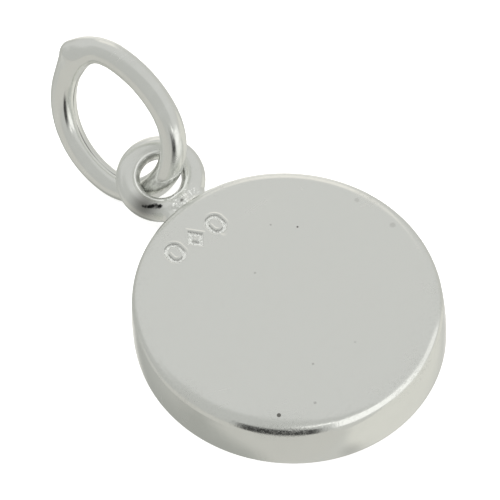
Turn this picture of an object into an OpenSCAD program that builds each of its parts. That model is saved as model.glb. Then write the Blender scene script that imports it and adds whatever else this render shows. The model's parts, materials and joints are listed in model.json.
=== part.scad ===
// Smiley face charm: a small round silver disc that lies on its face, back upwards.
// A closed loop is soldered to its edge, and an oval jump ring leans through the loop.
// The origin is the middle of the front face, +Z is the back, and +Y points to the loop.

/* [Disc] */
// Mean radius of the disc at its front face
disc_r = 6; // [5.9:0.02:6.04]
// How much longer the half length is than the half width, as the disc is slightly oval
disc_oval = 0.27; // [0.1:0.01:0.3]
// Direction of the disc's long way, anticlockwise from the loop's direction
oval_turn = 10; // [0:1:30]
// Thickness of the disc
disc_t = 2.3; // [2.1:0.05:2.6]
// Rounding of the back edge
back_round = 0.35; // [0.2:0.05:0.5]
// Bevel of the front edge
front_bevel = 0.08; // [0.04:0.01:0.15]
// How much less the radius is at the back than at the front
wall_taper = 0.2; // [0.1:0.02:0.3]

/* [Smile] */
// Radius of each round eye at the face
eye_r = 0.75; // [0.5:0.05:1]
// Depth of each eye
eye_depth = 0.3; // [0.1:0.05:0.45]
// Distance between the middles of the eyes
eye_space = 3.6; // [3:0.1:4.4]
// Distance of the eyes from the middle of the face, towards the loop
eye_y = 1.7; // [1:0.1:2.2]
// Radius of the mouth's line
mouth_r = 3.3; // [2.6:0.1:3.6]
// Half of the angle that the mouth spans
mouth_half = 62; // [40:1:75]
// Width of the mouth's groove
mouth_w = 0.7; // [0.5:0.05:0.9]
// Depth of the mouth's groove
mouth_depth = 0.3; // [0.1:0.05:0.45]

/* [Marks] */
// Height of each small punched mark on the back
mark_h = 0.9; // [0.7:0.05:1]
// Width of each mark
mark_w = 0.66; // [0.5:0.02:0.7]
// Width of a punched stroke
mark_stroke = 0.13; // [0.1:0.01:0.18]
// Depth of a punched stroke
mark_depth = 0.08; // [0.04:0.01:0.15]
// Distance between the middles of neighbouring marks
mark_step = 1; // [0.9:0.02:1.1]
// Sideways place of the middle mark
mark_x = -0.95; // [-1.1:0.05:0.9]
// Distance of the marks from the middle of the disc, towards the loop
mark_y = 4.25; // [3.6:0.05:4.3]

/* [Loop] */
// Radius of the loop's wire
loop_wire = 0.48; // [0.44:0.01:0.48]
// Radius of the loop's centre line
loop_r = 1.308; // [1.3:0.002:1.33]
// Sideways place of the loop's middle
loop_x = 0.09; // [0.07:0.01:0.11]
// Distance of the loop's middle from the middle of the disc
loop_y = 7.83; // [7.82:0.01:7.84]
// Height of the loop's middle
loop_z = 1.6; // [1.59:0.01:1.62]
// How far the loop rises outwards, in degrees
loop_rise = 17.8; // [17:0.1:18.5]
// How far the loop tips sideways, in degrees
loop_tip = -6.3; // [-7:0.1:-5.5]
// Radius of the solder between the loop and the disc
solder_r = 0.52; // [0.45:0.01:0.6]
// Radius of the thinner solder on each side of it
side_solder_r = 0.36; // [0.3:0.01:0.42]

/* [Oval ring] */
// Radius of the ring's wire
ring_wire = 0.52; // [0.48:0.01:0.53]
// Radius of the bend that passes through the loop
near_r = 1.9; // [1.88:0.01:1.92]
// Radius of the outer side, where the seam's straight end runs into it
side_r = 3.46; // [3.42:0.01:3.5]
// Radius of the stretch that rests on the ground
low_r = 2.67; // [2.64:0.01:2.7]
// Radius of the long side
long_r = 4.54; // [4.5:0.01:4.6]
// Radius of the shoulder before the seam
shoulder_r = 2.04; // [2:0.01:2.08]
// Direction on the ring in which the shoulder ends at the seam
seam_at = 355.9; // [354:0.1:358]
// How far the ring leans from lying flat
ring_lean = 66; // [65.8:0.1:66.2]

/* [Hidden] */
$fn = 96;

// The disc's outline is four arcs that meet at 45 degrees to its long way
arc_shift = disc_oval * (1 + sqrt(0.5));
end_arc_r = disc_r + disc_oval / 2 - arc_shift;
side_arc_r = disc_r - disc_oval / 2 + arc_shift;

// Centre of the mouth's arc
mouth_y = 0.5;

// Where the loop meets the disc's wall
solder_y = disc_r + 0.1;
solder_z = loop_z - loop_r * sin(loop_rise) + 0.05;

// Places of the ring's arcs in its own plane, each centre on the line of the last joint
function dir(a) = [cos(a), sin(a)];
function next_centre(c, r, r_next, a) = c + (r - r_next) * dir(a);
side_to_near = 115;
near_to_low = 176;
low_to_long = 262.2;
long_to_shoulder = 297.9;
near_c = [0, 0];
side_c = next_centre(near_c, near_r, side_r, side_to_near);
low_c = next_centre(near_c, near_r, low_r, near_to_low);
long_c = next_centre(low_c, low_r, long_r, low_to_long);
shoulder_c = next_centre(long_c, long_r, shoulder_r, long_to_shoulder);
seam = shoulder_c + shoulder_r * dir(seam_at);
// The straight end runs from the seam to the outer side's arc, which it touches
to_seam = seam - side_c;
straight_len = sqrt(to_seam * to_seam - side_r * side_r);
side_start = atan2(to_seam[1], to_seam[0]) + acos(side_r / norm(to_seam));
// The way from the seam into its inner corner, halfway between the two ends of the wire
corner = dir(side_start + 90) + dir(seam_at - 90);
seam_fill = [seam[0], seam[1], 0] + 0.48 * [corner[0], corner[1], 0] / norm(corner);

// Place of the near bend's centre, the direction the ring leans towards, and its turn
ring_place = [-0.27, 9.58, 2.27];
ring_heading = 202.2;
ring_turn = -132.8;

// Half of the disc's section: the wall flares towards the front, and the back edge is
// rounded in five short steps
module disc_section(r) {
    back_r = r - wall_taper;
    round_z = disc_t - back_round;
    edge = [for (a = [0:18:90]) [back_r - back_round, round_z] + back_round * dir(a)];
    polygon(concat([[0, 0], [r - front_bevel, 0], [r, front_bevel]], edge, [[0, disc_t]]));
}

// The slightly oval disc, a quarter for each arc, swept about the arc's own centre
module disc_body() {
    for (quarter = [0:3])
        rotate([0, 0, oval_turn + 90 * quarter])
            translate([0, quarter % 2 == 0 ? arc_shift : -arc_shift, 0])
                rotate([0, 0, 45])
                    rotate_extrude(angle = 90)
                        disc_section(quarter % 2 == 0 ? end_arc_r : side_arc_r);
}

// A round hollow that narrows with its depth, cut a little past the face
module hollow(r, depth) {
    translate([0, 0, -0.1])
        cylinder(r1 = r + 0.05, r2 = r * 0.6, h = depth + 0.1);
}

// Two round eyes and a curved mouth with round ends, sunk in the front face
module smile_cut() {
    groove = mouth_w / 2;
    for (side = [-1, 1])
        translate([side * eye_space / 2, eye_y, 0])
            hollow(eye_r, eye_depth);
    translate([0, mouth_y, 0])
        rotate([0, 0, 270 - mouth_half]) {
            rotate_extrude(angle = 2 * mouth_half)
                translate([mouth_r, 0])
                    polygon([[-groove, -0.1], [groove, -0.1], [groove * 0.6, mouth_depth],
                        [-groove * 0.6, mouth_depth]]);
            for (end = [0, 2 * mouth_half])
                rotate([0, 0, end])
                    translate([mouth_r, 0, 0])
                        hollow(groove * 1.2, mouth_depth * 1.1);
        }
}

// A round-ended outline, as a punch leaves it
module punched_oval() {
    straight = mark_h - mark_w;
    difference() {
        for (end = [-0.5, 0.5])
            translate([0, end * straight, 0])
                cylinder(d = mark_w, h = 1);
        for (end = [-0.5, 0.5])
            translate([0, end * straight, -1])
                cylinder(d = mark_w - 2 * mark_stroke, h = 3);
    }
}

// A lozenge's outline
module punched_lozenge() {
    linear_extrude(1)
        difference() {
            polygon([[mark_w / 2, 0], [0, mark_h / 2], [-mark_w / 2, 0], [0, -mark_h / 2]]);
            inner_w = mark_w / 2 - mark_stroke;
            inner_h = mark_h / 2 - mark_stroke * mark_h / mark_w;
            polygon([[inner_w, 0], [0, inner_h], [-inner_w, 0], [0, -inner_h]]);
        }
}

// The row of three plain punched marks near the loop
module marks_cut() {
    translate([mark_x, mark_y, disc_t - mark_depth]) {
        translate([-mark_step, 0, 0])
            punched_oval();
        punched_lozenge();
        translate([mark_step, 0, 0])
            punched_oval();
    }
}

// The closed loop of round wire
module wire_loop() {
    translate([loop_x, loop_y, loop_z])
        rotate([loop_rise, loop_tip, 0])
            rotate_extrude()
                translate([loop_r, 0])
                    circle(loop_wire);
}

// Solder that fills the corner between the loop and the disc's wall
module solder() {
    for (side = [-1, 0, 1])
        translate([loop_x + side * 0.7, solder_y - 0.5, solder_z])
            rotate([-90, 0, 0])
                cylinder(r = side == 0 ? solder_r : side_solder_r, h = side == 0 ? 0.9 : 0.8);
}

// Disc, loop and solder are one piece of silver
module face_disc() {
    color([0.86, 0.86, 0.85]) {
        difference() {
            disc_body();
            smile_cut();
            marks_cut();
        }
        wire_loop();
        solder();
    }
}

// Round wire along an arc in the ring's plane, drawn longer by lap degrees at both ends
module ring_arc(centre, r, start, end, wire, lap) {
    translate([centre[0], centre[1], 0])
        rotate([0, 0, start - lap])
            rotate_extrude(angle = end - start + 2 * lap)
                translate([r, 0])
                    circle(wire);
}

// An arc whose ends lap into its neighbours, and is thinner than them by a hair
module lapped_arc(centre, r, start, end) {
    ring_arc(centre, r, start, end, ring_wire - 0.005, 1);
}

// The oval jump ring: arcs and one straight end, which meet at a soldered seam
module oval_ring() {
    color([0.84, 0.84, 0.83])
        translate(ring_place)
            rotate([0, 0, ring_heading])
                rotate([0, ring_lean, 0])
                    rotate([0, 0, ring_turn]) {
                        lapped_arc(side_c, side_r, side_start, side_to_near);
                        ring_arc(near_c, near_r, side_to_near, near_to_low, ring_wire, 0);
                        lapped_arc(low_c, low_r, near_to_low, low_to_long);
                        ring_arc(long_c, long_r, low_to_long, long_to_shoulder, ring_wire, 0);
                        lapped_arc(shoulder_c, shoulder_r, long_to_shoulder, seam_at);
                        translate([side_c[0], side_c[1], 0])
                            rotate([0, 0, side_start])
                                translate([side_r, 0, 0])
                                    rotate([90, 0, 0])
                                        cylinder(r = ring_wire, h = straight_len);
                        translate([seam[0], seam[1], 0])
                            rotate([90, 0, 0])
                                sphere(ring_wire * 1.04);
                        translate(seam_fill)
                            rotate([90, 0, 0])
                                sphere(ring_wire * 0.96);
                    }
}

face_disc();
oval_ring();
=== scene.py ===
"""Smiley face charm: a small silver disc that lies on its face, its loop and its oval jump ring.

Every piece is a surface worked out with numpy in millimetres, and put into its mesh in metres.
The origin is the middle of the disc's front face, +Z is the back, and +Y points to the loop.
"""

import json
import math

import bpy
import numpy as np
from bpy.props import FloatProperty, FloatVectorProperty, IntProperty, PointerProperty
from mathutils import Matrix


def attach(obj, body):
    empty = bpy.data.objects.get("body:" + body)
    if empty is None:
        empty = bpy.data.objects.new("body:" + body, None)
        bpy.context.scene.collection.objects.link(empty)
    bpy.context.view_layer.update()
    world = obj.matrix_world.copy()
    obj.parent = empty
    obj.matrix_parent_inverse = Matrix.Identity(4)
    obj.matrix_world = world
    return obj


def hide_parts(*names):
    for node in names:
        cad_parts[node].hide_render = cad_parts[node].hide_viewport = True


bl_info = {
    "name": "Smiley face charm",
    "version": (1, 0, 0),
    "blender": (4, 5, 0),
    "location": "View3D > Sidebar > Charm",
    "description": "Makes a small silver charm with a loop, an oval jump ring and a studio",
    "category": "Add Mesh",
}

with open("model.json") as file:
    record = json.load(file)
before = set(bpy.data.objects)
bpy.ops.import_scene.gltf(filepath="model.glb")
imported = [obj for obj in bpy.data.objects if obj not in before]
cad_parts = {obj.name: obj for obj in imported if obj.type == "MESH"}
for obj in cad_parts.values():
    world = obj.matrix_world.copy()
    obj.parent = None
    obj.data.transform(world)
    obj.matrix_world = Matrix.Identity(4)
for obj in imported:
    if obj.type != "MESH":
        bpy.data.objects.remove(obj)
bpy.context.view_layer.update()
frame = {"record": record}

MM = 0.001
BODY = "root"

# Direction of the camera round the charm, in degrees. The studio's parts are placed from it.
CAMERA_AZIMUTH = -35

BACK_HEIGHT = next(m for m in frame["record"]["mounts"] if m["name"] == "back_face")["pos_m"][2]


# Settings ------------------------------------------------------------------------------------


def length(name, description, default_mm, low_mm=0.0, high_mm=100.0):
    """A length in metres, with its default and limits given in millimetres."""
    return FloatProperty(
        name=name,
        description=description,
        default=default_mm * MM,
        min=low_mm * MM,
        max=high_mm * MM,
        precision=6,
        subtype="DISTANCE",
        unit="LENGTH",
    )


def angle(name, description, default_degrees):
    """An angle in radians, with its default given in degrees."""
    return FloatProperty(
        name=name,
        description=description,
        default=math.radians(default_degrees),
        precision=4,
        subtype="ANGLE",
        unit="ROTATION",
    )


def share(name, description, default):
    """A number from 0 to 1."""
    return FloatProperty(
        name=name, description=description, default=default, min=0, max=1, subtype="FACTOR"
    )


def place(name, description, default_mm):
    """A point in metres, with its default given in millimetres."""
    return FloatVectorProperty(
        name=name,
        description=description,
        default=[value * MM for value in default_mm],
        size=3,
        precision=6,
        subtype="TRANSLATION",
        unit="LENGTH",
    )


def colour(name, description, default):
    """A linear colour."""
    return FloatVectorProperty(
        name=name, description=description, default=default, size=3, min=0, max=4, subtype="COLOR"
    )


class DiscSettings(bpy.types.PropertyGroup):
    """Sizes of the disc, its smile and its punched marks."""

    radius: length("Radius", "Mean radius of the disc at its front face", 6.0, 4, 9)
    oval: length("Oval", "How much longer the half length is than the half width", 0.27, 0.02, 0.5)
    oval_turn: angle("Oval turn", "Direction of the disc's long way from the loop's", 10)
    thickness: length("Thickness", "Thickness of the disc", BACK_HEIGHT / MM, 1.5, 4)
    roll_growth: FloatProperty(
        name="Roll growth", description="How late the roll tightens", default=1.6, min=1, max=3
    )
    front_round: length("Front rounding", "Radius of the front edge", 0.1, 0.04, 0.2)
    wall_taper: length("Wall taper", "How much the wall flares towards the front", 0.2, 0.02, 0.4)
    eye_radius: length("Eye radius", "Radius of each eye", 0.75, 0.3, 1.2)
    eye_depth: length("Eye depth", "Depth of each eye", 0.3, 0.05, 0.6)
    eye_space: length("Eye space", "Distance between the middles of the eyes", 3.6, 2, 5)
    eye_height: length("Eye height", "Distance of the eyes from the middle", 1.7, 0.5, 3)
    mouth_radius: length("Mouth radius", "Radius of the mouth's line", 3.3, 2, 4)
    mouth_middle: length("Mouth middle", "Distance of the mouth's centre", 0.5, 0, 2)
    mouth_half: angle("Mouth half", "Half of the angle that the mouth spans", 62)
    mouth_width: length("Mouth width", "Width of the mouth's groove", 0.7, 0.3, 1)
    mouth_depth: length("Mouth depth", "Depth of the mouth's groove", 0.3, 0.05, 0.6)
    mark_height: length("Mark height", "Height of each punched mark", 0.98, 0.4, 1.2)
    mark_width: length("Mark width", "Width of each punched mark", 0.76, 0.3, 1)
    mark_stroke: length("Mark stroke", "Width of a punched stroke", 0.2, 0.06, 0.2)
    mark_depth: length("Mark depth", "Depth of a punched stroke", 0.11, 0.02, 0.15)
    mark_step: length("Mark step", "Distance between neighbouring marks", 1.0, 0.8, 1.3)
    mark_x: length("Mark place", "Sideways place of the middle mark", -0.95, -5, 5)
    mark_y: length("Mark distance", "Distance of the marks from the middle", 4.25, 3, 5)


class LoopSettings(bpy.types.PropertyGroup):
    """Sizes of the closed loop and its solder."""

    wire: length("Wire", "Radius of the loop's wire", 0.48, 0.3, 0.6)
    radius: length("Radius", "Radius of the loop's centre line", 1.308, 1, 2)
    middle: place("Middle", "Middle of the loop", (0.09, 7.83, 1.6))
    rise: angle("Rise", "How far the loop rises outwards", 17.8)
    tip: angle("Tip", "How far the loop tips sideways", -6.3)
    solder: place("Solder", "Middle of the solder on the disc's wall", (0.09, 6.1, 1.25))
    solder_radius: length("Solder radius", "Radius of the solder", 0.52, 0.3, 0.8)
    solder_side: length("Side solder radius", "Radius of the solder at each side", 0.36, 0.2, 0.6)


class RingSettings(bpy.types.PropertyGroup):
    """Sizes of the oval jump ring, bend by bend, and its place."""

    wire: length("Wire", "Radius of the ring's wire", 0.52, 0.3, 0.7)
    near_radius: length("Near bend", "Radius of the bend through the loop", 1.9, 1, 3)
    side_radius: length("Outer side", "Radius of the outer side", 3.46, 2, 6)
    low_radius: length("Low bend", "Radius of the stretch nearest the surface", 2.67, 1, 5)
    long_radius: length("Long side", "Radius of the long side", 4.54, 3, 8)
    shoulder_radius: length("Shoulder", "Radius of the shoulder before the seam", 2.04, 1, 3)
    side_to_near: angle("Side to near", "Where the outer side meets the near bend", 115)
    near_to_low: angle("Near to low", "Where the near bend meets the low bend", 176)
    low_to_long: angle("Low to long", "Where the low bend meets the long side", 262.2)
    long_to_shoulder: angle("Long to shoulder", "Where the long side meets the shoulder", 297.9)
    seam_at: angle("Seam", "Where the shoulder ends at the seam", 355.9)
    middle: place("Place", "Centre of the near bend", (-0.27, 9.58, 2.27))
    heading: angle("Heading", "Direction that the ring leans towards", 202.2)
    lean: angle("Lean", "How far the ring leans from lying flat", 66)
    turn: angle("Turn", "Turn of the ring in its own plane", -132.8)


class SilverSettings(bpy.types.PropertyGroup):
    """Colour and polish of the silver."""

    tone: colour("Tone", "Colour of clean silver", (0.94, 0.95, 0.925))
    # The dull tone also paints the shade on the strokes' sides and along the ring's crease, and
    # the loop's broad dark reflection
    dull: colour("Dull tone", "Colour of silver in hollows and pits", (0.16, 0.155, 0.145))
    # Tone of the painted dark reflection streak on the loop
    painted_reflection_tone: colour("Burnt tone", "Colour of silver that the solder's flame burnt", (0.015,) * 3)
    polish: share("Polish", "Roughness of the polished silver", 0.13)
    haze: share("Haze", "Extra roughness of the hazy patches", 0.1)
    scratch_depth: length("Scratch depth", "Depth of the finest scratches", 0.0016, 0, 0.05)


class StageSettings(bpy.types.PropertyGroup):
    """Camera, floor and light."""

    camera_azimuth: angle("Camera azimuth", "Direction of the camera", CAMERA_AZIMUTH)
    camera_elevation: angle("Camera elevation", "Height of the camera over the floor", 55.84)
    camera_roll: angle("Camera roll", "Roll of the camera", -5.96)
    camera_offset: place("Camera offset", "Disc's middle from the camera", (1.49, -2.92, 69.28))
    lens: FloatProperty(
        name="Lens", description="Focal length", default=129.6, subtype="DISTANCE_CAMERA"
    )
    floor_size: length("Floor", "Half width of the floor", 600, 50, 2000)
    floor_glow: share("Floor glow", "Light that the floor shows by itself", 0.66)
    floor_tone: colour("Floor tone", "Colour of the floor", (0.8, 0.8, 0.8))
    rows: IntProperty(name="Floor rows", description="Squares along the floor", default=8, min=1)


# Shader maths --------------------------------------------------------------------------------


class Value:
    """One output of a shader node. Python's signs on it add the Math node that does the sum."""

    def __init__(self, nodes, socket):
        self.nodes = nodes
        self.socket = socket

    def math(self, operation, *others):
        """This value and others through one Math node."""
        return self.nodes.add("ShaderNodeMath", {"operation": operation}, [self, *others])

    def __add__(self, other):
        return self.math("ADD", other)

    __radd__ = __add__

    def __mul__(self, other):
        return self.math("MULTIPLY", other)

    __rmul__ = __mul__

    def __sub__(self, other):
        return self.math("SUBTRACT", other)

    def __rsub__(self, other):
        return self.nodes.add("ShaderNodeMath", {"operation": "SUBTRACT"}, [other, self])

    def __truediv__(self, other):
        return self.math("DIVIDE", other)

    def __rtruediv__(self, other):
        return self.nodes.add("ShaderNodeMath", {"operation": "DIVIDE"}, [other, self])

    def __abs__(self):
        return self.math("ABSOLUTE")

    def most(self, other):
        return self.math("MAXIMUM", other)

    def step(self, low, high):
        """0 up to low and 1 past high, smooth between them. low may be the larger one."""
        settings = {"interpolation_type": "SMOOTHSTEP", "clamp": True}
        if low < high:
            return self.nodes.add("ShaderNodeMapRange", settings, [self, low, high, 0.0, 1.0])
        return self.nodes.add("ShaderNodeMapRange", settings, [self, high, low, 1.0, 0.0])

    def step_mm(self, low, high):
        """The same step for a length, between two lengths in millimetres."""
        return self.step(low * MM, high * MM)


class Nodes:
    """A node tree that is being filled."""

    def __init__(self, tree):
        self.tree = tree
        tree.nodes.clear()

    def add(self, kind, settings=None, inputs=None, output=0):
        """One node: its settings first, then the values or links of its sockets.

        inputs is a list in the order of the sockets, or a dictionary by name or number.
        """
        node = self.tree.nodes.new(kind)
        for key, value in (settings or {}).items():
            setattr(node, key, value)
        pairs = inputs.items() if isinstance(inputs, dict) else enumerate(inputs or [])
        for key, value in pairs:
            if isinstance(value, Value):
                self.tree.links.new(value.socket, node.inputs[key])
            elif value is not None:
                node.inputs[key].default_value = value
        return Value(self, node.outputs[output]) if node.outputs else node

    def vector(self, operation, a, b=None):
        """Vector Math on one or two vectors. A dot product or a length gives a number."""
        output = 1 if operation in ("DOT_PRODUCT", "LENGTH", "DISTANCE") else 0
        inputs = [a] if b is None else [a, b]
        return self.add("ShaderNodeVectorMath", {"operation": operation}, inputs, output)

    def mix_colour(self, factor, a, b):
        """Colour a where factor is 0, and colour b where it is 1."""
        a = (*a, 1) if isinstance(a, tuple) else a
        b = (*b, 1) if isinstance(b, tuple) else b
        settings = {"data_type": "RGBA", "clamp_factor": True}
        return self.add("ShaderNodeMix", settings, {0: factor, 6: a, 7: b}, 2)

    def noise(self, vector, scale, detail=3.0, roughness=0.5):
        """Cloudy noise from 0 to 1, with scale features to a metre."""
        inputs = {"Vector": vector, "Scale": scale, "Detail": detail, "Roughness": roughness}
        return self.add("ShaderNodeTexNoise", {"noise_dimensions": "3D"}, inputs)

    def stretched(self, vector, turn, factors):
        """The coordinates scaled by factors, for noise drawn out along X, Y or Z.

        They are turned about Z after that, which only picks another part of the noise.
        """
        inputs = {"Vector": vector, "Rotation": (0, 0, turn), "Scale": factors}
        return self.add("ShaderNodeMapping", {"vector_type": "POINT"}, inputs)


def new_material(name):
    """A material without nodes, and its tree to fill."""
    material = bpy.data.materials.new(name)
    material.use_nodes = True
    return material, Nodes(material.node_tree)


# Shapes --------------------------------------------------------------------------------------


def smooth_step(low, high, value):
    """0 up to low and 1 past high, along 3t2 - 2t3 between them. low may be the larger one."""
    t = np.clip((value - low) / (high - low), 0, 1)
    return t * t * (3 - 2 * t)


def soft_min(a, b, reach):
    """The lesser of two distances, rounded off where they differ by less than reach."""
    h = np.clip(0.5 + 0.5 * (b - a) / reach, 0, 1)
    return b + (a - b) * h - reach * h * (1 - h)


def towards(turn):
    """Unit vector in the plane, turned from X: (cos, sin)."""
    return np.array([math.cos(turn), math.sin(turn)])


def turned(about_x, about_y, about_z):
    """The matrix that turns about X, then Y, then Z."""
    cx, cy, cz = math.cos(about_x), math.cos(about_y), math.cos(about_z)
    sx, sy, sz = math.sin(about_x), math.sin(about_y), math.sin(about_z)
    x = np.array([[1, 0, 0], [0, cx, -sx], [0, sx, cx]])
    y = np.array([[cy, 0, sy], [0, 1, 0], [-sy, 0, cy]])
    z = np.array([[cz, -sz, 0], [sz, cz, 0], [0, 0, 1]])
    return z @ y @ x


def distance_to_segment(x, y, start, end):
    """Distance of points from the straight line between start and end, in their plane."""
    way = np.subtract(end, start)
    t = np.clip(((x - start[0]) * way[0] + (y - start[1]) * way[1]) / (way @ way), 0, 1)
    return np.hypot(x - start[0] - t * way[0], y - start[1] - t * way[1])


def distance_to_arc(x, y, centre, radius, start, end):
    """Distance of points from an arc in their plane, and past its ends from the nearer end."""
    dx, dy = x - centre[0], y - centre[1]
    along = np.mod(np.arctan2(dy, dx) - start, 2 * np.pi)
    ends = [
        np.hypot(dx - radius * math.cos(a), dy - radius * math.sin(a)) for a in (start, end)
    ]
    return np.where(along <= end - start, np.abs(np.hypot(dx, dy) - radius), np.minimum(*ends))


def grid_mesh(name, points, closed_rows=False, poles=False):
    """A mesh of squares over an array of points (rows, columns, 3), in millimetres.

    The columns always close into a round. closed_rows joins the last row to the first, and
    poles closes the first and last row with a fan to their middle.
    """
    rows, columns = points.shape[:2]
    index = np.arange(rows * columns).reshape(rows, columns)
    upper = index if closed_rows else index[:-1]
    lower = np.roll(index, -1, axis=0) if closed_rows else index[1:]
    right = np.roll(lower, -1, axis=1), np.roll(upper, -1, axis=1)
    squares = np.stack([upper, lower, *right], axis=-1).reshape(-1, 4)
    vertices = points.reshape(-1, 3)
    corners = [squares.ravel()]
    totals = [np.full(len(squares), 4)]
    if poles:
        first, last = len(vertices), len(vertices) + 1
        vertices = np.vstack([vertices, points[0].mean(0), points[-1].mean(0)])
        top = np.stack([np.full(columns, first), index[0], np.roll(index[0], -1)], axis=-1)
        foot = np.stack([np.full(columns, last), np.roll(index[-1], -1), index[-1]], axis=-1)
        corners += [top.ravel(), foot.ravel()]
        totals += [np.full(columns, 3), np.full(columns, 3)]
    corners, totals = np.concatenate(corners), np.concatenate(totals)
    starts = np.concatenate([[0], np.cumsum(totals)[:-1]])
    if volume_of(vertices, corners, starts, totals) < 0:
        ends = np.repeat(starts + totals - 1, totals)
        corners = corners[ends - (np.arange(len(corners)) - np.repeat(starts, totals))]
    mesh = bpy.data.meshes.new(name)
    mesh.vertices.add(len(vertices))
    mesh.vertices.foreach_set("co", (vertices * MM).astype(np.float32).ravel())
    mesh.loops.add(len(corners))
    mesh.loops.foreach_set("vertex_index", corners.astype(np.int32))
    mesh.polygons.add(len(totals))
    mesh.polygons.foreach_set("loop_start", starts.astype(np.int32))
    mesh.polygons.foreach_set("use_smooth", np.ones(len(totals), bool))
    mesh.update(calc_edges=True)
    if mesh.validate():
        raise RuntimeError(f"the mesh of {name} had faults")
    return mesh


def volume_of(vertices, corners, starts, totals):
    """Signed volume of a closed mesh: the sum of a . (b x c) / 6 over its triangles."""
    volume = 0.0
    for side in (3, 4):
        first = starts[totals == side]
        for k in range(1, side - 1):
            a, b, c = (vertices[corners[first + i]] for i in (0, k, k + 1))
            volume += np.einsum("ij,ij->", a, np.cross(b, c)) / 6
    return volume


def add_object(name, data):
    """A new object in the scene, at the origin."""
    added = bpy.data.objects.new(name, data)
    bpy.context.scene.collection.objects.link(added)
    return added


def add_piece(name, mesh, material, node):
    """The mesh as a piece on the charm, in place of a CAD node, with the given material."""
    piece = add_object(name, mesh)
    mesh.materials.append(material)
    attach(piece, BODY)
    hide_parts(node)


def mm(value):
    """A setting in metres as millimetres."""
    return np.array(value) / MM if hasattr(value, "__len__") else value / MM


# Disc ----------------------------------------------------------------------------------------


def outline(disc, angle_from_long, inset):
    """Distance from the disc's middle to its outline, inset by the given depth.

    The outline is four arcs that meet at 45 degrees. The end arcs have their centres e along
    the long way, which gives e|cos| + sqrt(R2 - e2 sin2), and the side arcs have theirs e
    across it on the far side, which gives -e|sin| + sqrt(R2 - e2 cos2).
    """
    e = mm(disc.oval) * (1 + math.sqrt(0.5))
    end_r = mm(disc.radius) + mm(disc.oval) / 2 - e - inset
    side_r = mm(disc.radius) - mm(disc.oval) / 2 + e - inset
    c, s = np.abs(np.cos(angle_from_long)), np.abs(np.sin(angle_from_long))
    by_end = e * c + np.sqrt(end_r**2 - (e * s) ** 2)
    by_side = -e * s + np.sqrt(side_r**2 - (e * c) ** 2)
    return np.where(by_end * s <= by_end * c - e, by_end, by_side)


# Steps of the disc's section over the roll of its back edge, its wall and its front edge
ROLL_STEPS, WALL_STEPS, FRONT_STEPS = 32, 11, 8

# How far the middle of the wall bulges, in mm
WALL_BULGE = 0.03

EDGE_ROLL = (
    # Direction round the disc in degrees, from +X, and length in mm of the roll of the back edge
    # there. It was filed by hand, so it is wide on one side and tight on the other.
    (-55, 0.72),
    (-90, 0.72),
    (-110, 1.05),
    (-135, 1.2),
    (-165, 1.05),
    (-215, 0.8),
    (-270, 0.68),
    (-330, 0.68),
)


def roll_length(around):
    """Length of the back edge's roll in each direction: smooth steps between the listed ones."""
    listed = np.array(EDGE_ROLL)[::-1]
    turns = np.radians(np.concatenate([listed[:, 0], listed[:1, 0] + 360]))
    lengths = np.concatenate([listed[:, 1], listed[:1, 1]])
    around = np.mod(around - turns[0], 2 * np.pi) + turns[0]
    k = np.clip(np.searchsorted(turns, around, side="right") - 1, 0, len(turns) - 2)
    t = smooth_step(0, 1, (around - turns[k]) / (turns[k + 1] - turns[k]))
    return lengths[k] + t * (lengths[k + 1] - lengths[k])


def disc_section(disc, around):
    """Inset and height of the disc's edge in each direction, from back face to front face.

    At the back the surface rolls over: its tilt grows with a power of the way t along the roll,
    up to the flared wall, and the way is summed up from the tilt. The front edge is a small arc
    that touches the wall, which bulges by a hair along 4s(1 - s).
    """
    height = mm(disc.thickness)
    flare = math.atan2(mm(disc.wall_taper), height)
    t = np.linspace(0, 1, ROLL_STEPS + 1)
    middle = (t[1:] + t[:-1]) / 2
    tilt = (np.pi / 2 - flare) * middle**disc.roll_growth
    out = np.concatenate([[0], np.cumsum(np.cos(tilt))]) / ROLL_STEPS
    down = np.concatenate([[0], np.cumsum(np.sin(tilt))]) / ROLL_STEPS
    long = roll_length(around)
    foot = height - down[-1] * long
    back_z = height - down[:, None] * long
    back_inset = math.tan(flare) * foot + (out[-1] - out)[:, None] * long
    r = mm(disc.front_round)
    turn = np.linspace(flare, -np.pi / 2, FRONT_STEPS + 1)[:, None] + 0 * around
    front_inset = (r + r * math.sin(flare)) / math.cos(flare) - r * np.cos(turn)
    front_z = r + r * np.sin(turn)
    share = np.linspace(0, 1, WALL_STEPS + 1)[1:-1, None]
    bulge = 4 * WALL_BULGE * share * (1 - share)
    wall_inset = back_inset[-1] + share * (front_inset[0] - back_inset[-1]) - bulge
    wall_z = back_z[-1] + share * (front_z[0] - back_z[-1])
    return np.vstack([back_inset, wall_inset, front_inset]), np.vstack([back_z, wall_z, front_z])


# The marks' strokes, in mm from the edge of a stroke: where the back begins to sink and where
# the floor is reached, and the height, place and width of the low lip beside it
SINK_FROM, SINK_TO = 0.015, -0.075
LIP_HEIGHT, LIP_PLACE, LIP_WIDTH = 0.014, 0.04, 0.035

# How much deeper a mark is at its upper end, as the punch leans, and how torn its floor is
PUNCH_LEAN, TORN_FLOOR = 0.35, 0.16


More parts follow.
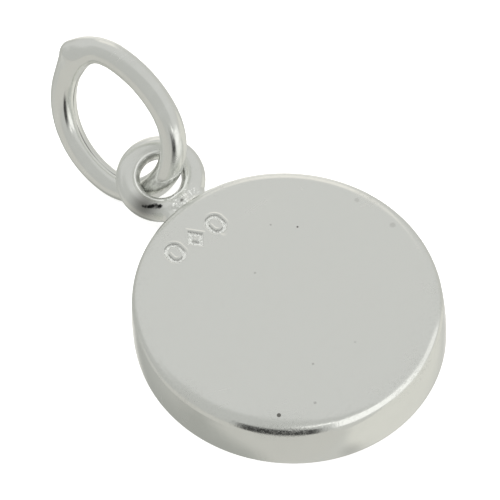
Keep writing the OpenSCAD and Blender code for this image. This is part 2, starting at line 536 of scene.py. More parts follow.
def mark_relief(disc, x, y):
    """Height of the punched marks over the back: a round outline, a lozenge, a round outline.

    Each stroke sinks to its depth over a soft edge, has a torn floor of crossed sine waves, and
    pushes up a low lip beside it.
    """
    stroke = mm(disc.mark_stroke)
    half_w, half_h = mm(disc.mark_width) / 2, mm(disc.mark_height) / 2
    x, y = x - mm(disc.mark_x), y - mm(disc.mark_y)
    straight = half_h - half_w
    edges = []
    for side in (-1, 1):
        middle = distance_to_segment(
            x - side * mm(disc.mark_step), y, (0.0, -straight), (0.0, straight)
        )
        edges.append(np.abs(middle - half_w + stroke / 2) - stroke / 2)
    slope = math.hypot(half_w, half_h)
    lozenge = (np.abs(x) * half_h + np.abs(y) * half_w - half_w * half_h) / slope
    edges.append(np.abs(lozenge + stroke / 2) - stroke / 2)
    edge = np.minimum.reduce(edges)
    lean = 1 + PUNCH_LEAN * np.clip(y / half_h, -1, 1)
    inside = smooth_step(SINK_FROM, SINK_TO, edge)
    teeth = TORN_FLOOR * np.sin(47 * x + 31 * y) * np.sin(29 * x - 52 * y + 1)
    lip = LIP_HEIGHT * np.exp(-(((edge - LIP_PLACE) / LIP_WIDTH) ** 2))
    return lip - mm(disc.mark_depth) * inside * (lean + teeth)


PITS = (
    # x, y, radius and depth of each pit in the back. The smaller one slips between the points of
    # the disc's mesh, so only its dark spot in the silver shows.
    (-3.55, -3.74, 0.085, 0.06),
    (2.30, 2.02, 0.045, 0.03),
)


def smile_relief(disc, x, y):
    """Depth of the smile under the front face: two round eyes and a curved mouth."""
    eye = np.hypot(np.abs(x) - mm(disc.eye_space) / 2, y - mm(disc.eye_height))
    r = mm(disc.eye_radius)
    eyes = mm(disc.eye_depth) * smooth_step(r, r * 0.55, eye)
    down, half, width = 1.5 * np.pi, disc.mouth_half, mm(disc.mouth_width) / 2
    line = distance_to_arc(
        x, y, (0, mm(disc.mouth_middle)), mm(disc.mouth_radius), down - half, down + half
    )
    mouth = mm(disc.mouth_depth) * smooth_step(width, width * 0.5, line)
    return np.maximum(eyes, mouth)


def graded(low, high, coarse, bands):
    """Values from low to high at coarse steps, and at finer steps inside the bands."""
    values = [low]
    while values[-1] < high - coarse * 0.01:
        step = coarse
        for start, end, fine in bands:
            if start - coarse < values[-1] < end:
                step = fine if values[-1] >= start else min(step, max(fine, start - values[-1]))
        values.append(values[-1] + step)
    return np.array(values[:-1])


# Finer steps of the disc's mesh, as start, end and step: round it in degrees, over the marks, a
# stretch opposite the smaller pit, and the larger pit; and outwards, as shares of the outline
FINE_TURNS = ((83, 121, 0.3), (220.5, 222.5, 0.5), (225.0, 228.0, 0.2))
FINE_SHARES = ((0.69, 1.0, 0.005),)


def disc_points(disc):
    """Rows of points over the whole disc: back face, edge, front face.

    On a face a row is the outline times a share of it, and its height is the relief there.
    """
    turns = graded(0, 360, 1.5, FINE_TURNS)
    around = np.radians(turns)[None, :]
    from_long = around - np.pi / 2 - disc.oval_turn
    inset, height = disc_section(disc, around)
    back_shares = graded(0.05, 1, 0.05, FINE_SHARES)[:, None]
    front_shares = np.linspace(1, 0.03, 92)[1:, None]
    edge = outline(disc, from_long, inset)
    back = back_shares * edge[:1]
    front = front_shares * edge[-1:]
    far = np.vstack([back, edge, front])
    x, y = far * np.cos(around), far * np.sin(around)
    z = np.empty_like(x)
    n, m = len(back), len(back) + len(edge)
    fade = smooth_step(1.0, 0.97, back_shares)
    z[:n] = mm(disc.thickness) + fade * mark_relief(disc, x[:n], y[:n])
    for px, py, r, depth in PITS:
        z[:n] -= depth * smooth_step(r, r * 0.3, np.hypot(x[:n] - px, y[:n] - py))
    z[n:m] = height
    z[m:] = smile_relief(disc, x[m:], y[m:])
    return np.stack([x, y, z], axis=-1)


# Rounding of the back edge near the loop, in mm
EDGE_BY_LOOP = 0.4


def disc_distance(disc, p):
    """Distance of points near the loop from the disc's surface, negative inside it.

    It is that from the wall and the back face, with the edge between them rounded to r: both
    are moved in by r, the distance from their corner is taken, and r is taken away again.
    """
    around = np.arctan2(p[..., 1], p[..., 0]) - np.pi / 2 - disc.oval_turn
    height, r = mm(disc.thickness), EDGE_BY_LOOP
    tilt = math.atan2(mm(disc.wall_taper), height)
    wall = np.hypot(p[..., 0], p[..., 1]) - outline(disc, around, 0.0)
    wall = (wall + p[..., 2] * math.tan(tilt)) * math.cos(tilt) + r
    top = p[..., 2] - height + r
    outside = np.hypot(np.maximum(wall, 0), np.maximum(top, 0))
    return outside + np.minimum(np.maximum(wall, top), 0) - r


# Loop ----------------------------------------------------------------------------------------


def wire_rays(centre, facing, around):
    """Rays to a wire's surface: their starts on its flat centre line, and their ways.

    At each of its points the centre line faces outwards in the direction facing. The ray at the
    angle a round the wire goes along out cos a + up sin a.
    """
    out = np.stack([np.cos(facing), np.sin(facing), 0 * facing], axis=-1)[:, None]
    a = around[None, :, None]
    way = np.cos(a) * out + np.sin(a) * np.array([0.0, 0.0, 1.0])
    return centre[:, None] + 0 * way, way


def first_crossing(distance, start, way, reach, points=48, halvings=14):
    """How far along each ray from start the distance first turns positive, up to reach.

    Tries evenly spaced points on all the rays at once, and halves the last step down.
    """
    far = np.full(way.shape[:-1], reach)
    near = np.zeros_like(far)
    found = np.zeros(far.shape, bool)
    for t in np.linspace(0, reach, points)[1:]:
        outside = distance(start + way * t) > 0
        far = np.where(outside & ~found, t, far)
        found |= outside
        near = np.where(found, near, t)
    near = np.where(found, near, reach)
    for _ in range(halvings):
        middle = (near + far) / 2
        outside = distance(start + way * middle[..., None]) > 0
        far = np.where(outside, middle, far)
        near = np.where(outside, near, middle)
    return (near + far) / 2


# The solder, in mm: how far its lumps reach into the disc and out of it, how far the side ones
# lie from the middle one, how much one is raised and the other lowered, and how grainy it is
SOLDER_IN, SOLDER_OUT = -0.6, 0.28
SIDE_LUMP, SIDE_LIFT = 0.62, 0.05
SOLDER_GRAIN = 0.045

# Finer steps of the loop's mesh by the solder: start, end and step in degrees
SOLDER_STEPS = ((205, 335, 1.0),)

# Rounding in mm where the lumps meet each other, the loop and the disc, and how far under the
# disc's surface the loop's mesh ends
LUMP_BLEND, LOOP_BLEND, DISC_BLEND = 0.2, 0.16, 0.12
UNDER_DISC = 0.012


def loop_points(loop, disc):
    """Points of the loop and its solder: rays from the wire's centre line to its surface.

    The surface is where the least of three distances is 0, rounded off where they meet: from
    the round wire, from the solder and from the disc, a hair under whose wall it ends.
    """
    turn = turned(loop.rise, loop.tip, 0)
    middle, radius, wire = mm(loop.middle), mm(loop.radius), mm(loop.wire)
    u = np.radians(graded(0, 360, 2.0, SOLDER_STEPS))
    v = np.linspace(0, 2 * np.pi, 72, endpoint=False)
    centre = radius * np.stack([np.cos(u), np.sin(u), 0 * u], axis=-1)
    start, way = wire_rays(centre, u, v)
    middle_r, side_r = mm(loop.solder_radius), mm(loop.solder_side)

    def distance(p):
        torus = np.hypot(np.hypot(p[..., 0], p[..., 1]) - radius, p[..., 2]) - wire
        q = p @ turn.T + middle
        x, y, z = np.moveaxis(q, -1, 0)
        across, out, up = np.moveaxis(q - mm(loop.solder), -1, 0)
        out = out - np.clip(out, SOLDER_IN, SOLDER_OUT)
        lumps = [
            np.sqrt((across - side * SIDE_LUMP) ** 2 + out**2 + (up - side * SIDE_LIFT) ** 2) - r
            for side, r in ((0, middle_r), (-1, side_r), (1, side_r))
        ]
        grain = SOLDER_GRAIN * np.sin(11 * x + 2) * np.sin(9 * y) * np.sin(12 * z + 1)
        blob = soft_min(soft_min(lumps[0], lumps[1], LUMP_BLEND), lumps[2], LUMP_BLEND) + grain
        joined = soft_min(torus, blob, LOOP_BLEND)
        return soft_min(joined, disc_distance(disc, q) + UNDER_DISC, DISC_BLEND)

    reach = first_crossing(distance, start, way, 1.0)
    return (start + way * reach[..., None]) @ turn.T + middle


# Oval ring -----------------------------------------------------------------------------------


# The fine crease along the inside of the ring's wire: its place, its width and how far its finer
# mesh reaches, in degrees round the wire, and its depth in mm
CREASE_AT, CREASE_WIDTH, CREASE_REACH = 172.0, 2.6, 9
CREASE_DEPTH = 0.035

# Steps of the ring's mesh along it and by its seam, in mm, and round it and by its crease, in
# degrees
RING_STEP, SEAM_STEP = 0.06, 0.03
ROUND_STEP, CREASE_STEP = 6.5, 1.3

# The seam, in mm: where the finer steps before and after it end, how far from it the wire turns,
# where its rounding is full and where it is gone, and how much is rounded on the outside and how
# much more in the inner corner
SEAM_BEFORE, SEAM_AFTER = 1.2, 1.1
SEAM_TURN = 0.7
SEAM_FULL, SEAM_NONE = 1.4, 2.2
SEAM_OUTSIDE, SEAM_CORNER = 0.1, 0.75


def ring_arcs(ring):
    """Centre, radius, start and end of the ring's arcs, each touching the next, and its seam."""
    bends = (
        (mm(ring.near_radius), ring.side_to_near, ring.near_to_low),
        (mm(ring.low_radius), ring.near_to_low, ring.low_to_long),
        (mm(ring.long_radius), ring.low_to_long, ring.long_to_shoulder),
        (mm(ring.shoulder_radius), ring.long_to_shoulder, ring.seam_at),
    )
    centre = np.zeros(2)
    arcs = []
    for k, (r, start, end) in enumerate(bends):
        if k:
            centre = centre + (bends[k - 1][0] - r) * towards(start)
        arcs.append((centre, r, start, end))
    seam = centre + r * towards(end)
    side_r, joint = mm(ring.side_radius), ring.side_to_near
    side = (bends[0][0] - side_r) * towards(joint)
    to_seam = seam - side
    side_start = math.atan2(to_seam[1], to_seam[0]) + math.acos(side_r / np.hypot(*to_seam))
    arcs.insert(0, (side, side_r, side_start, joint))
    return arcs, seam


def ring_points(ring):
    """Points of the oval ring, and how deep its crease is at each, from 0 to 1.

    The points lie on rays round its centre line, which runs through the arcs and the straight
    end. Near the seam the rays turn evenly from one end of the wire to the other, and reach to
    the rounded union of both, which is fuller in the inner corner. The crease along the inside
    has a section of exp(-a2), and its depth goes up and down a little along a sine.
    """
    arcs, seam = ring_arcs(ring)
    side, side_r, side_start, _ = arcs[0]
    foot = side + side_r * towards(side_start)
    stretches = [r * (end - start) for _, r, start, end in arcs]
    seam_s = sum(stretches)
    total = seam_s + np.hypot(*(foot - seam))
    by_seam = [(seam_s - SEAM_BEFORE, seam_s + SEAM_AFTER, SEAM_STEP)]
    s = graded(0, total, RING_STEP, by_seam)
    centre_x, centre_y, facing = np.zeros_like(s), np.zeros_like(s), np.zeros_like(s)
    begun = 0.0
    for (c, r, start, _), stretch in zip(arcs, stretches):
        here = (s >= begun) & (s < begun + stretch)
        a = start + (s - begun) / r
        centre_x = np.where(here, c[0] + r * np.cos(a), centre_x)
        centre_y = np.where(here, c[1] + r * np.sin(a), centre_y)
        facing = np.where(here, a, facing)
        begun += stretch
    end = s >= seam_s
    t = (s - seam_s) / (total - seam_s)
    centre_x = np.where(end, seam[0] + t * (foot[0] - seam[0]), centre_x)
    centre_y = np.where(end, seam[1] + t * (foot[1] - seam[1]), centre_y)
    facing = np.where(end, side_start + 2 * np.pi, facing)
    bend = side_start + 2 * np.pi - ring.seam_at
    facing = facing + bend * (smooth_step(seam_s - SEAM_TURN, seam_s + SEAM_TURN, s) - end)
    by_crease = [(CREASE_AT - CREASE_REACH, CREASE_AT + CREASE_REACH, CREASE_STEP)]
    v = np.radians(graded(0, 360, ROUND_STEP, by_crease))
    start, way = wire_rays(np.stack([centre_x, centre_y, 0 * s], axis=-1), facing, v)
    wire = mm(ring.wire)
    corner = towards(side_start + np.pi / 2) + towards(ring.seam_at - np.pi / 2)
    corner /= np.hypot(*corner)

    def distance(p):
        x, y, z = p[..., 0], p[..., 1], p[..., 2]
        bends = [distance_to_arc(x, y, *arc) for arc in arcs]
        before = np.hypot(np.minimum.reduce(bends[1:]), z) - wire
        straight = distance_to_segment(x, y, seam, foot)
        after = np.hypot(np.minimum(bends[0], straight), z) - wire
        inwards = (x - seam[0]) * corner[0] + (y - seam[1]) * corner[1]
        near_seam = smooth_step(SEAM_NONE, SEAM_FULL, np.hypot(x - seam[0], y - seam[1]))
        whole = np.minimum(before, after)
        rounding = SEAM_OUTSIDE + SEAM_CORNER * smooth_step(-0.1, 0.6, inwards)
        joined = soft_min(before, after, rounding)
        return whole + near_seam * (joined - whole)

    crease = np.exp(-(((np.degrees(v) - CREASE_AT) / CREASE_WIDTH) ** 2))
    crease = crease * (0.75 + 0.25 * np.sin(2.3 * s + 1))[:, None]
    reach = first_crossing(distance, start, way, 1.3) - CREASE_DEPTH * crease
    points = start + way * reach[..., None]
    turn = turned(0, ring.lean, ring.heading) @ turned(0, 0, ring.turn)
    return points @ turn.T + mm(ring.middle), crease


# Silver --------------------------------------------------------------------------------------


def near_mark(nodes, position, x, y, radius, soft):
    """1 within radius of a point on the back, 0 past radius + soft, in millimetres."""
    flat = nodes.vector("MULTIPLY", position, (1, 1, 0))
    away = nodes.vector("DISTANCE", flat, (x * MM, y * MM, 0))
    return away.step_mm(radius + soft, radius)


def near_point(nodes, position, x, y, z, radius):
    """1 at a point given in millimetres, fading to 0 at radius from it."""
    return nodes.vector("DISTANCE", position, (x * MM, y * MM, z * MM)).step_mm(radius, 0.0)


def near_line(nodes, position, start, end, width):
    """1 on the straight line between two points on the back, 0 past width from it.

    It fades out over a quarter of a millimetre at its ends.
    """
    way = np.subtract(end, start)
    span = float(np.hypot(*way))
    along, across = way / span, np.array([-way[1], way[0]]) / span
    from_start = nodes.vector("SUBTRACT", position, (start[0] * MM, start[1] * MM, 0))
    u = nodes.vector("DOT_PRODUCT", from_start, (along[0], along[1], 0)) / MM
    v = abs(nodes.vector("DOT_PRODUCT", from_start, (across[0], across[1], 0)) / MM)
    inside = u.step(-0.1, 0.15) * u.step(span + 0.1, span - 0.15)
    return inside * v.step(width, width * 0.3)


FAINT_MARKS = (
    # x, y, radius and strength of the faint specks on the back
    (1.60, 2.79, 0.045, 0.3),
    (-2.26, -4.23, 0.06, 0.3),
    (-1.25, -2.96, 0.05, 0.3),
    (0.51, -3.29, 0.04, 0.2),
    (-0.27, 1.50, 0.05, 0.25),
    (4.83, 1.43, 0.1, 0.2),
    (5.05, -0.36, 0.12, 0.2),
)

SCRATCHES = (
    # Start, end, width and strength of the fine scratches on the back
    ((-5.08, -1.99), (-4.52, -2.16), 0.035, 0.8),
    ((-4.11, -3.63), (-3.35, -4.6), 0.03, 0.5),
    ((-3.2, -4.55), (-2.30, -5.62), 0.03, 0.5),
    ((3.61, 3.15), (3.61, 3.45), 0.04, 0.6),
    ((-4.9, -1.3), (-4.1, -1.75), 0.02, 0.5),
)

DIM_SPOTS_AND_PAINTED_REFLECTION = {
    # x, y, z, radius and strength of each dim spot; which of them are painted dark reflection is
    # noted
    # A darker spot at the foot of the disc's wall
    "disc": ((-1.9, -5.72, 0.35, 0.7, 0.2),),
    "loop": (
        # A broad painted dark reflection on the loop's side towards -X and -Y
        (-1.25, 7.14, 1.7, 0.9, 0.85),
        # Small dark specks by the solder
        (0.0, 6.34, 1.76, 0.12, 0.9),
        (0.22, 6.3, 1.8, 0.08, 0.7),
        (0.62, 6.2, 1.8, 0.09, 0.6),
    ),
}

# The painted dark reflection on the loop, a black streak: its ends, its radius, and how many spots
# make it up
PAINTED_REFLECTION_STREAK = ((-1.28, 7.13, 1.7), (-0.78, 6.75, 1.68), 0.19, 9)

# Noise patterns: features to a metre, levels of detail and roughness
CLOUD = (420.0, 4.0, 0.55)
FINE = (2600.0, 3.0, 0.6)
PEEL = (5200.0, 2.0, 0.5)
GRAIN = (9500.0, 3.0, 0.65)
TORN = (5200.0, 3.0, 0.7)
PAPER_FIBRE = (900.0, 3.0, 0.6)

# Two layers of hair scratches, both along X: the turn that picks a part of the noise for each,
# and its features to a metre along X, Y and Z
HAIRS = ((0.5, (260, 6000, 700)), (-0.9, (320, 5200, 900)))

# Steps of a mask over a length in mm, as the values where it is 0 and where it is 1.
# By height: the back, the rows of the marks, the worn rim, and the hollows of the smile
ON_BACK = (2.15, 2.25)
ABOVE_WALL = (2.0, 2.1)
RIM_HEIGHT = (1.5, 2.1)
HOLLOW_FROM, HOLLOW_TO = (0.04, 0.2), (0.4, 0.3)
# By distance from the disc's axis: the worn rim, the smile and the flat of the back
RIM_RADIUS = (4.7, 5.8)
SMILE_RADIUS = (5.2, 4.8)
FLAT_RADIUS = (5.42, 5.38)
# By distance from the middle mark, and by depth in a stroke: its floor, and its side's two ends
MARKS_REACH = (1.8, 1.7)
STROKE_FLOOR, STROKE_TOP, STROKE_FOOT = (0.01, 0.06), (0.01, 0.04), (0.11, 0.07)
# By distance from the loop's middle: its inside, and away from the crest of its hole
LOOP_INSIDE = (1.12, 0.98)
CREST_RADIUS, CREST_AWAY = 1.1, (0.055, 0.02)

# Direction in which the sides of the strokes face that get painted shade
PAINTED_SHADE_SIDE = (-0.57, -0.82, 0.0)

# Middle and radius in mm of the part of the loop that is solder
SOLDERED = (0.15, 6.3, 1.5, 1.0)


def greatest(values):
    """The greatest of several values, as one."""
    most = values[0]
    for value in values[1:]:
        most = most.most(value)
    return most


def punched(nodes, position, disc, height, radius):
    """1 on the torn floor of a punched stroke, and 1 on its steep side that faces -X and -Y."""

    def below_back(low, high):
        """0 at the depth low under the back and 1 at the depth high, in millimetres."""
        return height.step(BACK_HEIGHT - low * MM, BACK_HEIGHT - high * MM)

    reach = nodes.vector("DISTANCE", position, (disc.mark_x, disc.mark_y, BACK_HEIGHT))
    here = reach.step_mm(*MARKS_REACH) * height.step_mm(*ABOVE_WALL)
    here = here * radius.step_mm(*FLAT_RADIUS)
    floor = below_back(*STROKE_FLOOR) * here
    side = below_back(*STROKE_TOP) * below_back(*STROKE_FOOT) * here
    # The steep sides that face -X and -Y are picked out for painted shade
    normal = nodes.add("ShaderNodeTexCoord", output=1)
    facing = nodes.vector("DOT_PRODUCT", normal, PAINTED_SHADE_SIDE)
    return floor, side * facing.step(0.1, 0.4)


def painted_reflection_streak(nodes, position):
    """1 on the streak of painted dark reflection: the greatest of a row of spots close together,
    torn by noise.

    The spots are half as strong at the streak's start as at its end.
    """
    start, end, radius, count = PAINTED_REFLECTION_STREAK
    spots = []
    for share in np.linspace(0, 1, count):
        x, y, z = np.array(start) + share * np.subtract(end, start)
        spots.append(near_point(nodes, position, x, y, z, radius) * (0.5 + 0.5 * share))
    return (greatest(spots) * 0.8 + nodes.noise(position, *TORN) * 1.3 - 0.65).step(0.22, 0.6)


def silver(name, scene, piece):
    """Polished silver: clouded polish, hair scratches along X and fine orange peel.

    The disc also has the specks and scratches that lie at their own places on its back, a worn
    and grainy rim, torn strokes in its punched marks with painted shade on their sides that face
    -X and -Y, a darker spot at the foot of its wall and dull silver inside the smile. The loop is
    dull inside its hole and rough in its solder, with small dark specks by it, and has a broad
    painted dark reflection with a black streak of painted reflection in it. The ring has painted
    shade along its crease. The torn strokes, the solder's grain and the crest of the loop's hole
    are too rough to mirror, so they are less metallic, which makes them matt and pale.
    """
    settings = scene.charm_silver
    material, nodes = new_material(name)
    position = nodes.add("ShaderNodeTexCoord", output=3)
    patches = nodes.noise(position, *CLOUD).step(0.42, 0.68)
    fine = nodes.noise(position, *FINE)
    peel = nodes.noise(position, *PEEL)
    grain = nodes.noise(position, *GRAIN)
    hairs = [
        nodes.noise(nodes.stretched(position, turn, factors), 1.0, 2.0, 0.5).step(0.6, 0.72)
        for turn, factors in HAIRS
    ]
    hair = greatest(hairs)
    clean = tuple(settings.tone)
    clouded = patches * 0.3 + fine.step(0.5, 0.7) * 0.25
    tone = nodes.mix_colour(clouded, clean, tuple(0.96 * c for c in clean))
    roughness = patches * settings.haze + fine * 0.05 + settings.polish + hair * 0.03
    relief = peel * 0.35 - hair * 0.5 + fine * 0.3 + grain * 0.25
    # Masks towards the dull tone: dull silver and dark specks, with painted shade and painted dark
    # reflection among them
    dulling_and_painted_shade = [
        near_point(nodes, position, x, y, z, r) * strength
        for x, y, z, r, strength in DIM_SPOTS_AND_PAINTED_REFLECTION.get(piece, ())
    ]
    if piece == "disc":
        height = nodes.add("ShaderNodeSeparateXYZ", None, [position], 2)
        radius = nodes.vector("LENGTH", nodes.vector("MULTIPLY", position, (1, 1, 0)))
        on_back = height.step_mm(*ON_BACK)
        spots = [(x, y, 0.4 * r, r, strength) for x, y, r, strength in FAINT_MARKS]
        spots += [(x, y, 0.75 * r, 0.3 * r, 0.9) for x, y, r, _ in PITS]
        specks = [near_mark(nodes, position, *spot) * strength for *spot, strength in spots]
        specks = greatest(specks) * on_back
        lines = [near_line(nodes, position, a, b, w) * strength for a, b, w, strength in SCRATCHES]
        lines = greatest(lines) * on_back
        rim_wear_and_crease_shade = radius.step_mm(*RIM_RADIUS) * height.step_mm(*RIM_HEIGHT)
        chips = grain.step(0.5, 0.62) * rim_wear_and_crease_shade * patches.most(0.35)
        floor, side = punched(nodes, position, scene.charm_disc, height, radius)
        hollow = height.step_mm(*HOLLOW_FROM) * height.step_mm(*HOLLOW_TO)
        hollow = hollow * radius.step_mm(*SMILE_RADIUS)
        # The strokes' sides get painted shade; the specks, the smile's hollows and the rim's chips
        # are dull silver
        dulling_and_painted_shade += [specks, hollow * 0.8, side * 0.5, chips * 0.12]
        roughness = roughness + lines * 0.2 + hollow * 0.25 + specks * 0.2 + chips * 0.12
        relief = relief - lines * 1.5 - chips * 1.6 + (grain * 60 + fine * 20) * floor
        matt = floor * (grain.step(0.35, 0.6) * 0.4 + 0.3)
    elif piece == "loop":
        away = nodes.vector("DISTANCE", position, tuple(scene.charm_loop.middle))
        inside = away.step_mm(*LOOP_INSIDE)
        soldered = near_point(nodes, position, *SOLDERED).step(0.1, 0.45)
        crest = abs(away - CREST_RADIUS * MM).step_mm(*CREST_AWAY) * fine.step(0.35, 0.5)
        dulling_and_painted_shade.append(inside * (fine.step(0.4, 0.6) * 0.4 + 0.06))
        relief = relief + (fine * 22 + grain * 14) * soldered + (fine * 12 + grain * 16) * inside
        matt = (soldered * grain.step(0.5, 0.62) * 0.6).most(crest * 0.7)
    else:
        # Painted shade along the ring's crease, from its crease attribute
        crease = nodes.add("ShaderNodeAttribute", {"attribute_name": "crease"}, output=2)
        dulling_and_painted_shade.append(crease.step(0.25, 0.9) * 0.75)
        matt = hair * 0.04
    tone = nodes.mix_colour(greatest(dulling_and_painted_shade), tone, tuple(settings.dull))
    # Painted dark reflection: a black streak on the loop
    if piece == "loop":
        tone = nodes.mix_colour(painted_reflection_streak(nodes, position), tone, tuple(settings.painted_reflection_tone))
    bump = {"Strength": 1.0, "Distance": settings.scratch_depth, "Height": relief}
    normal = nodes.add("ShaderNodeBump", None, bump)
    looks = {"Base Color": tone, "Metallic": 1 - matt, "Roughness": roughness, "Normal": normal}
    shader = nodes.add("ShaderNodeBsdfPrincipled", None, looks)
    nodes.add("ShaderNodeOutputMaterial", None, {"Surface": shader})
    return material


# Stage ---------------------------------------------------------------------------------------


def panel_frame(azimuth, elevation):
    """Unit vectors to a panel's middle, across the panel and up it.

    With the azimuth a in degrees from the camera's side and the elevation e, the first one is
    (sin a cos e, -cos a cos e, sin e).
    """
    a, e = math.radians(azimuth + CAMERA_AZIMUTH), math.radians(elevation)
    ahead = np.array([math.sin(a) * math.cos(e), -math.cos(a) * math.cos(e), math.sin(e)])
    across = np.array([math.cos(a), math.sin(a), 0.0])
    up = np.array([-math.sin(a) * math.sin(e), math.cos(a) * math.sin(e), math.cos(e)])
    return ahead, across, up


PANELS = {
    # What the silver mirrors: azimuth and elevation of each soft panel's middle, half of its
    # width and height in degrees, softness of its edge, and its colour
    "front": ((-25, 40), (48, 42), 0.6, (0.50, 0.505, 0.485)),
    "wall_left": ((-75, 8), (45, 22), 0.4, (0.49, 0.495, 0.475)),
    "floor_middle": ((-35, -32), (44, 32), 0.16, (0.555, 0.55, 0.515)),
    "floor_left": ((-135, -32), (26, 32), 0.3, (0.47, 0.475, 0.45)),
    "floor_left_low": ((-120, -70), (36, 18), 0.3, (0.37, 0.375, 0.35)),
    "floor_right": ((78, -32), (35, 32), 0.12, (0.69, 0.685, 0.635)),
    "floor_back": ((180, -32), (20, 42), 0.3, (0.85, 0.84, 0.8)),
    "light_back": ((172, 30), (13, 14), 0.2, (0.85, 0.83, 0.78)),
}

# The white tent round the charm, low and high, the dark line where it meets the floor, and the
# plain white that the camera sees behind the charm
TENT_LOW, TENT_HIGH = (0.56, 0.56, 0.53), (0.603, 0.606, 0.588)
HORIZON = (0.12, 0.12, 0.12)
PLAIN_WHITE = (1.0, 1.0, 1.0)

# Colour of the paper's fibres, and height of the paper in mm
FIBRE_TONE = (0.75, 0.75, 0.75)
FLOOR_HEIGHT = -0.02

# The lamp overhead: its strength, and how wide it looks in degrees
TOP_LIGHT_STRENGTH, TOP_LIGHT_WIDTH = 2.0, 50

# How far each card's edge fades to either side, as a share of its lesser half
CARD_FADE = 0.2

CARDS = (
    # Small cards beside the charm that only its silver mirrors: middle in millimetres, azimuth
    # that the card faces, half of its width and height, and how bright it is
    ("dark_card", (-12.6, -11.35, 3.3), -18, (5.8, 4.8), 0.03),
    ("bright_card", (0.8, -10.95, 5.8), 44, (5.4, 3.3), 1.0),
    ("strip_card", (-7.0, -11.8, 10.6), 20, (2.6, 1.1), 1.2),
    ("side_card", (7.4, -8.4, 5.6), 92, (2.2, 2.6), 0.85),
)


def studio_light(nodes):
    """Colour of the studio in each direction: a white tent with soft panels, by the ray's way."""
    way = nodes.vector("NORMALIZE", nodes.add("ShaderNodeTexCoord", output=0))
    rise = nodes.vector("DOT_PRODUCT", way, (0, 0, 1))
    tone = nodes.mix_colour(rise.step(-0.2, 0.5), TENT_LOW, TENT_HIGH)
    for middle, (half_w, half_h), soft, shade in PANELS.values():
        ahead, across, up = panel_frame(*middle)
        depth = nodes.vector("DOT_PRODUCT", way, tuple(ahead)).most(0.02)
        mask = depth.step(0.03, 0.12)
        for axis, half in ((across, half_w), (up, half_h)):
            edge = math.tan(math.radians(half))
            off = abs(nodes.vector("DOT_PRODUCT", way, tuple(axis)) / depth)
            mask = mask * off.step(edge + soft / 2, edge - soft / 2)
        tone = nodes.mix_colour(mask, tone, shade)
    horizon = abs(rise + 0.01).step(0.03, 0.012)
    return nodes.mix_colour(horizon * 0.2, tone, HORIZON)


def set_world():
    """The studio as a sky. What the camera itself sees behind the charm is plain white."""
    world = bpy.data.worlds.new("studio")
    world.use_nodes = True
    nodes = Nodes(world.node_tree)
    seen = nodes.add("ShaderNodeLightPath", output=0)
    tone = nodes.mix_colour(seen, studio_light(nodes), PLAIN_WHITE)
    sky = nodes.add("ShaderNodeBackground", None, {"Color": tone, "Strength": 1.0})
    nodes.add("ShaderNodeOutputWorld", None, {"Surface": sky})
    bpy.context.scene.world = world


def floor_material(settings):
    """White paper: what light falls on it, and a glow that bleaches it as in the photograph.

    Seen from below the floor is clear, so that the charm's front face can be looked at.
    """
    material, nodes = new_material("white_paper")
    fibre = nodes.noise(nodes.add("ShaderNodeTexCoord", output=3), *PAPER_FIBRE)
    tone = nodes.mix_colour(fibre * 0.03, tuple(settings.floor_tone), FIBRE_TONE)
    paper = nodes.add("ShaderNodeBsdfDiffuse", None, {"Color": tone})
    light = {"Color": (*PLAIN_WHITE, 1), "Strength": settings.floor_glow}
    glow = nodes.add("ShaderNodeEmission", None, light)
    bright = nodes.add("ShaderNodeAddShader", None, [paper, glow])
    clear = nodes.add("ShaderNodeBsdfTransparent")
    under = nodes.add("ShaderNodeNewGeometry", output=6)
    shown = nodes.add("ShaderNodeMixShader", None, [under, bright, clear])
    nodes.add("ShaderNodeOutputMaterial", None, {"Surface": shown})
    return material


def make_floor(settings):
    """A flat square of paper a hair under the charm."""
    n = settings.rows + 1
    span = np.linspace(-mm(settings.floor_size), mm(settings.floor_size), n)
    x, y = np.meshgrid(span, span)
    points = np.stack([x, y, np.full_like(x, FLOOR_HEIGHT)], axis=-1).reshape(-1, 3) * MM
    index = np.arange(n * n).reshape(n, n)
    faces = np.stack([index[:-1, :-1], index[:-1, 1:], index[1:, 1:], index[1:, :-1]], axis=-1)
    mesh = bpy.data.meshes.new("floor")
    mesh.from_pydata(points.tolist(), [], faces.reshape(-1, 4).tolist())
    floor = add_object("floor", mesh)
    mesh.materials.append(floor_material(settings))
    floor.visible_glossy = False


def make_top_light():
    """A soft light overhead that the silver doesn't mirror, but its torn, matt spots catch."""
    light = bpy.data.lights.new("top_light", "SUN")
    light.energy = TOP_LIGHT_STRENGTH
    light.angle = math.radians(TOP_LIGHT_WIDTH)
    add_object("top_light", light).visible_glossy = False


def make_cards():
    """The small cards: upright, met by no ray but a mirrored one, and casting no shadow.

    Each one glows a little warmer than white and fades out evenly across its edge.
    """
    for name, middle, azimuth, (half_w, half_h), bright in CARDS:
        _, across, up = panel_frame(azimuth, 0)
        fade = CARD_FADE * min(half_w, half_h)
        corners = [
            np.array(middle) + x * (half_w + fade) * across + y * (half_h + fade) * up
            for x, y in ((-1, -1), (1, -1), (1, 1), (-1, 1))
        ]
        mesh = bpy.data.meshes.new(name)
        mesh.from_pydata((np.array(corners) * MM).tolist(), [], [(0, 1, 2, 3)])
        material, nodes = new_material(name)
        light = {"Color": (bright, bright, 0.97 * bright, 1), "Strength": 1.0}
        shine = nodes.add("ShaderNodeEmission", None, light)
        position = nodes.add("ShaderNodeTexCoord", output=3)
        off = nodes.vector("SUBTRACT", position, tuple(MM * c for c in middle))
        inside = 1.0
        for axis, half in ((across, half_w), (up, half_h)):
            away = abs(nodes.vector("DOT_PRODUCT", off, tuple(axis)))
            inside = away.step_mm(half + fade, half - fade) * inside
        clear = nodes.add("ShaderNodeBsdfTransparent")
        shown = nodes.add("ShaderNodeMixShader", None, [inside, clear, shine])
        nodes.add("ShaderNodeOutputMaterial", None, {"Surface": shown})
        mesh.materials.append(material)
        card = add_object(name, mesh)
        for ray in ("camera", "diffuse", "transmission", "volume_scatter", "shadow"):
            setattr(card, "visible_" + ray, False)


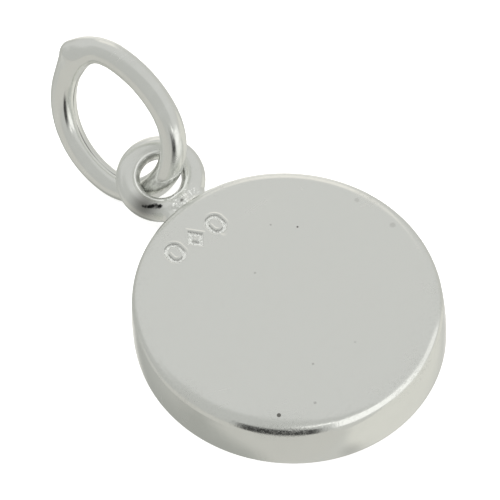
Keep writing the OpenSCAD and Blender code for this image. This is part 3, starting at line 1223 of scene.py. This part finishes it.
def make_camera(settings):
    """The camera at the photograph's angle: turned round the charm, raised, rolled and set off."""
    a, e, roll = settings.camera_azimuth, settings.camera_elevation, settings.camera_roll
    right = np.array([math.cos(a), math.sin(a), 0.0])
    ahead = np.array([-math.sin(a) * math.cos(e), math.cos(a) * math.cos(e), -math.sin(e)])
    up = np.cross(right, ahead)
    across = math.cos(roll) * right + math.sin(roll) * up
    upward = -math.sin(roll) * right + math.cos(roll) * up
    offset = np.array(settings.camera_offset)
    eye = -(offset[0] * across + offset[1] * upward + offset[2] * ahead)
    matrix = np.eye(4)
    matrix[:3, 0], matrix[:3, 1], matrix[:3, 2], matrix[:3, 3] = across, upward, -ahead, eye
    data = bpy.data.cameras.new("camera")
    data.lens = settings.lens
    data.sensor_width = 36
    data.clip_start, data.clip_end = 0.001, 10
    camera = add_object("camera", data)
    camera.matrix_world = matrix.T
    bpy.context.scene.camera = camera


# Operators -----------------------------------------------------------------------------------


class CHARM_OT_disc(bpy.types.Operator):
    """Make the disc with its smile and punched marks"""

    bl_idname = "charm.disc"
    bl_label = "Disc"

    def execute(self, context):
        scene = context.scene
        mesh = grid_mesh("disc", disc_points(scene.charm_disc), poles=True)
        add_piece("disc", mesh, silver("silver_disc", scene, "disc"), "face_disc")
        return {"FINISHED"}


class CHARM_OT_loop(bpy.types.Operator):
    """Make the closed loop with its solder"""

    bl_idname = "charm.loop"
    bl_label = "Loop"

    def execute(self, context):
        scene = context.scene
        points = loop_points(scene.charm_loop, scene.charm_disc)
        mesh = grid_mesh("loop", points, closed_rows=True)
        add_piece("loop", mesh, silver("silver_loop", scene, "loop"), "face_disc")
        return {"FINISHED"}


class CHARM_OT_ring(bpy.types.Operator):
    """Make the oval jump ring"""

    bl_idname = "charm.ring"
    bl_label = "Oval ring"

    def execute(self, context):
        scene = context.scene
        points, crease = ring_points(scene.charm_ring)
        mesh = grid_mesh("ring", points, closed_rows=True)
        # The crease's depth at each point, along which the silver paints shade
        rim_wear_and_crease_shade = mesh.attributes.new("crease", "FLOAT", "POINT")
        rim_wear_and_crease_shade.data.foreach_set("value", crease.astype(np.float32).ravel())
        finish = silver("silver_ring", scene, "ring")
        add_piece("oval_jump_ring", mesh, finish, "oval_ring")
        return {"FINISHED"}


class CHARM_OT_stage(bpy.types.Operator):
    """Make the camera, the floor and the light"""

    bl_idname = "charm.stage"
    bl_label = "Stage"

    def execute(self, context):
        settings = context.scene.charm_stage
        make_camera(settings)
        make_floor(settings)
        make_cards()
        make_top_light()
        set_world()
        context.scene.view_settings.view_transform = "Standard"
        return {"FINISHED"}


class CHARM_PT_panel(bpy.types.Panel):
    """Sizes, colours and buttons of the charm"""

    bl_idname = "CHARM_PT_panel"
    bl_label = "Smiley face charm"
    bl_space_type = "VIEW_3D"
    bl_region_type = "UI"
    bl_category = "Charm"

    def draw(self, context):
        for group, _, operator in GROUPS:
            box = self.layout.box()
            settings = getattr(context.scene, group)
            for name in settings.bl_rna.properties.keys():
                if name not in ("rna_type", "name"):
                    box.prop(settings, name)
            if operator:
                box.operator(operator)


GROUPS = (
    # Name in the scene, settings, and the operator that they belong to
    ("charm_stage", StageSettings, "charm.stage"),
    ("charm_silver", SilverSettings, None),
    ("charm_disc", DiscSettings, "charm.disc"),
    ("charm_loop", LoopSettings, "charm.loop"),
    ("charm_ring", RingSettings, "charm.ring"),
)
OTHERS = (CHARM_OT_disc, CHARM_OT_loop, CHARM_OT_ring, CHARM_OT_stage, CHARM_PT_panel)


def register():
    for name, settings, _ in GROUPS:
        bpy.utils.register_class(settings)
        setattr(bpy.types.Scene, name, PointerProperty(type=settings))
    for other in OTHERS:
        bpy.utils.register_class(other)


def unregister():
    for other in reversed(OTHERS):
        bpy.utils.unregister_class(other)
    for name, settings, _ in reversed(GROUPS):
        delattr(bpy.types.Scene, name)
        bpy.utils.unregister_class(settings)


def main():
    """Makes the charm and its stage."""
    register()
    bpy.ops.charm.stage()
    bpy.ops.charm.disc()
    bpy.ops.charm.loop()
    bpy.ops.charm.ring()


if __name__ == "__main__":
    main()
